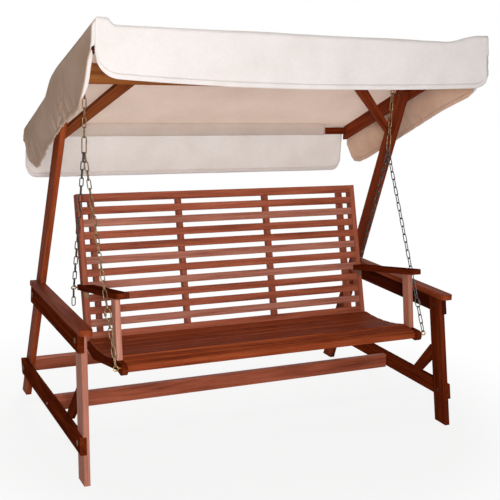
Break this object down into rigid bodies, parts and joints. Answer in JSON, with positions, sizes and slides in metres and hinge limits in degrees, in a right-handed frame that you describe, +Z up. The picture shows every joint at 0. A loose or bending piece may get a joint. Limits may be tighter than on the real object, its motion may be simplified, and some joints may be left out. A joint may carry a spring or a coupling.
{
  "type": "garden swing bench with canopy",
  "caption": "Free-standing hardwood garden swing: a slatted bench with arms hung on link chain from a beam between two braced side frames, under a sloping canvas canopy with valances.",
  "frame": {"origin": "on the ground at the centre of the outline", "axes": "+X along the bench to the right of a person who looks at its front, +Y to the rear, +Z up"},
  "size_m": [2.0316, 1.3289, 2.026],
  "materials": {
    "hardwood": "satin",
    "canvas": "matte",
    "chain_steel": "satin",
    "bolt_steel": "satin",
    "eye_brass": "satin"
  },
  "bodies": {
    "stand": {"front_leg_right": "hardwood", "front_leg_left": "hardwood", "rear_post_right": "hardwood", "rear_post_left": "hardwood", "lower_rail_right": "hardwood", "lower_rail_left": "hardwood", "arm_rail_right": "hardwood", "arm_rail_left": "hardwood", "stand_arm_right": "hardwood", "stand_arm_left": "hardwood", "leg_brace_right": "hardwood", "leg_brace_left": "hardwood", "knee_brace_right": "hardwood", "knee_brace_left": "hardwood", "canopy_side_rail_right": "hardwood", "canopy_side_rail_left": "hardwood", "middle_stretcher": "hardwood", "rear_stretcher": "hardwood", "top_beam": "hardwood", "canopy_front_rail": "hardwood", "canopy_rear_rail": "hardwood", "canopy_roof": "canvas", "front_valance": "canvas", "rear_valance": "canvas", "side_valance_right": "canvas", "side_valance_left": "canvas", "frame_bolts": "bolt_steel", "beam_eye_bolts": "bolt_steel"},
    "hangers": {"upper_chain_right": "chain_steel", "upper_chain_left": "chain_steel"},
    "bench": {"back_slat_1": "hardwood", "back_slat_2": "hardwood", "back_slat_3": "hardwood", "back_slat_4": "hardwood", "back_slat_5": "hardwood", "back_slat_6": "hardwood", "back_slat_7": "hardwood", "back_slat_8": "hardwood", "back_slat_9": "hardwood", "back_slat_10": "hardwood", "back_slat_11": "hardwood", "back_slat_12": "hardwood", "end_stile_right": "hardwood", "end_stile_left": "hardwood", "seat_side_rail_right": "hardwood", "seat_side_rail_left": "hardwood", "bench_arm_right": "hardwood", "bench_arm_left": "hardwood", "arm_support_right": "hardwood", "arm_support_left": "hardwood", "inner_stiles": "hardwood", "seat_slats": "hardwood", "front_slat": "hardwood", "seat_bearers": "hardwood", "front_chain_right": "chain_steel", "front_chain_left": "chain_steel", "rear_chain_right": "chain_steel", "rear_chain_left": "chain_steel", "bench_eye_bolts": "eye_brass", "bench_fittings": "eye_brass"}
  },
  "joints": [
    {"name": "swing", "type": "hinge", "parent": "stand", "child": "hangers", "pos_m": [0, -0.059, 1.706], "axis": [1, 0, 0], "range_deg": [-17, 17]},
    {"name": "bench_tilt", "type": "hinge", "parent": "hangers", "child": "bench", "pos_m": [0, -0.059, 1.407], "axis": [1, 0, 0], "range_deg": [-8, 8]}
  ]
}
